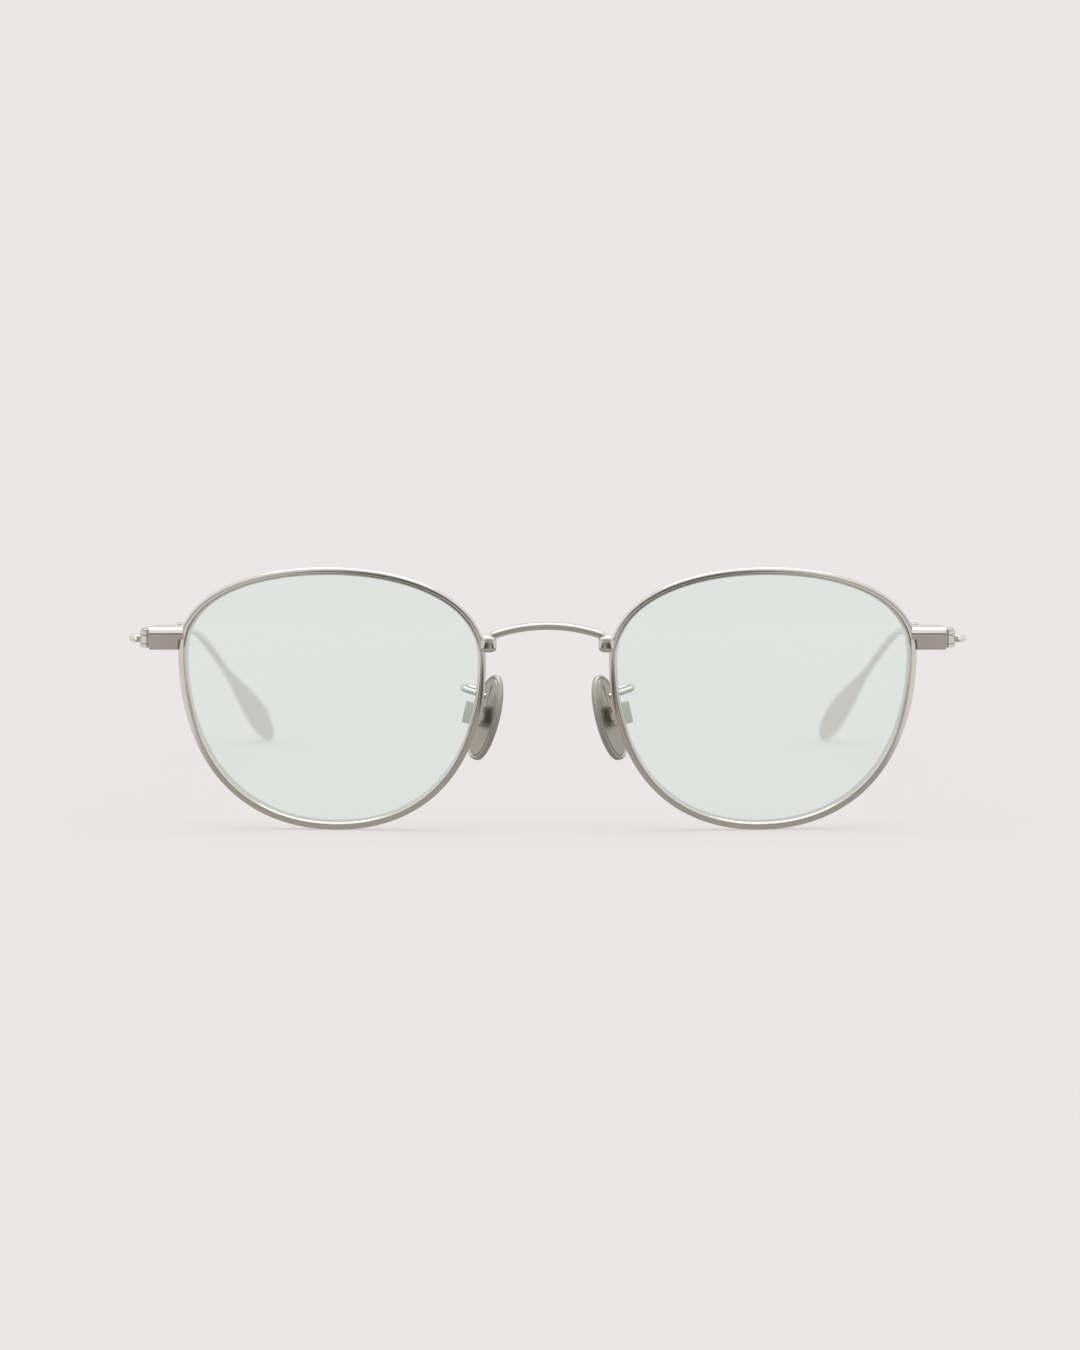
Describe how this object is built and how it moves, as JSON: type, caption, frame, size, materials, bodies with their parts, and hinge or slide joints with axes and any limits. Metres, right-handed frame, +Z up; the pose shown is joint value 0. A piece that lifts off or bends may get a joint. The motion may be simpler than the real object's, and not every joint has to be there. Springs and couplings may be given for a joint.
{
  "type": "round wire eyeglasses",
  "caption": "Round wire-rimmed eyeglasses with tinted lenses, a low arched bridge, rocking nose pads on wire arms and slim folding temples that end in flat blades.",
  "frame": {"origin": "middle of the base of the box round the open eyeglasses, on the surface that they stand on", "axes": "+Z up, -Y the way the wearer looks, +X the wearer's left"},
  "size_m": [0.134, 0.1381, 0.0422],
  "materials": {
    "satin_titanium": "satin",
    "screw_steel": "satin",
    "pad_titanium": "fine satin",
    "green_tinted_lens": "polished, pale green",
    "washer_resin": "matte"
  },
  "bodies": {
    "front": {"bridge": "satin_titanium", "rim_left": "satin_titanium", "rim_right": "satin_titanium", "lens_left": "green_tinted_lens", "lens_right": "green_tinted_lens", "closing_block_upper_left": "satin_titanium", "closing_block_upper_right": "satin_titanium", "closing_block_lower_left": "satin_titanium", "closing_block_lower_right": "satin_titanium", "rim_screw_left": "screw_steel", "rim_screw_right": "screw_steel", "end_piece_left": "satin_titanium", "end_piece_right": "satin_titanium", "hinge_front_left": "satin_titanium", "hinge_front_right": "satin_titanium", "hinge_washers_left": "washer_resin", "hinge_washers_right": "washer_resin", "hinge_screw_left": "screw_steel", "hinge_screw_right": "screw_steel", "pad_arm_left": "satin_titanium", "pad_arm_right": "satin_titanium", "pad_box_left": "satin_titanium", "pad_box_right": "satin_titanium", "pad_screw_left": "screw_steel", "pad_screw_right": "screw_steel"},
    "temple_left": {"temple_hinge_left": "satin_titanium", "temple_left": "satin_titanium"},
    "temple_right": {"temple_hinge_right": "satin_titanium", "temple_right": "satin_titanium"},
    "nose_pad_left": {"pad_boss_left": "pad_titanium", "nose_pad_left": "pad_titanium"},
    "nose_pad_right": {"pad_boss_right": "pad_titanium", "nose_pad_right": "pad_titanium"}
  },
  "joints": [
    {"name": "temple_left_fold", "type": "hinge", "parent": "front", "child": "temple_left", "pos_m": [0.0641, -0.06179, 0.03035], "axis": [0, -0.0609, 0.9981], "range_deg": [0, 81]},
    {"name": "temple_right_fold", "type": "hinge", "parent": "front", "child": "temple_right", "pos_m": [-0.0641, -0.06179, 0.03035], "axis": [0, 0.0609, -0.9981], "range_deg": [0, 79]},
    {"name": "nose_pad_left_rock", "type": "hinge", "parent": "front", "child": "nose_pad_left", "pos_m": [0.01157, -0.06195, 0.01798], "axis": [0.5736, 0.8176, 0.0498], "range_deg": [-12, 12]},
    {"name": "nose_pad_right_rock", "type": "hinge", "parent": "front", "child": "nose_pad_right", "pos_m": [-0.01157, -0.06195, 0.01798], "axis": [-0.5736, 0.8176, 0.0498], "range_deg": [-12, 12]}
  ]
}
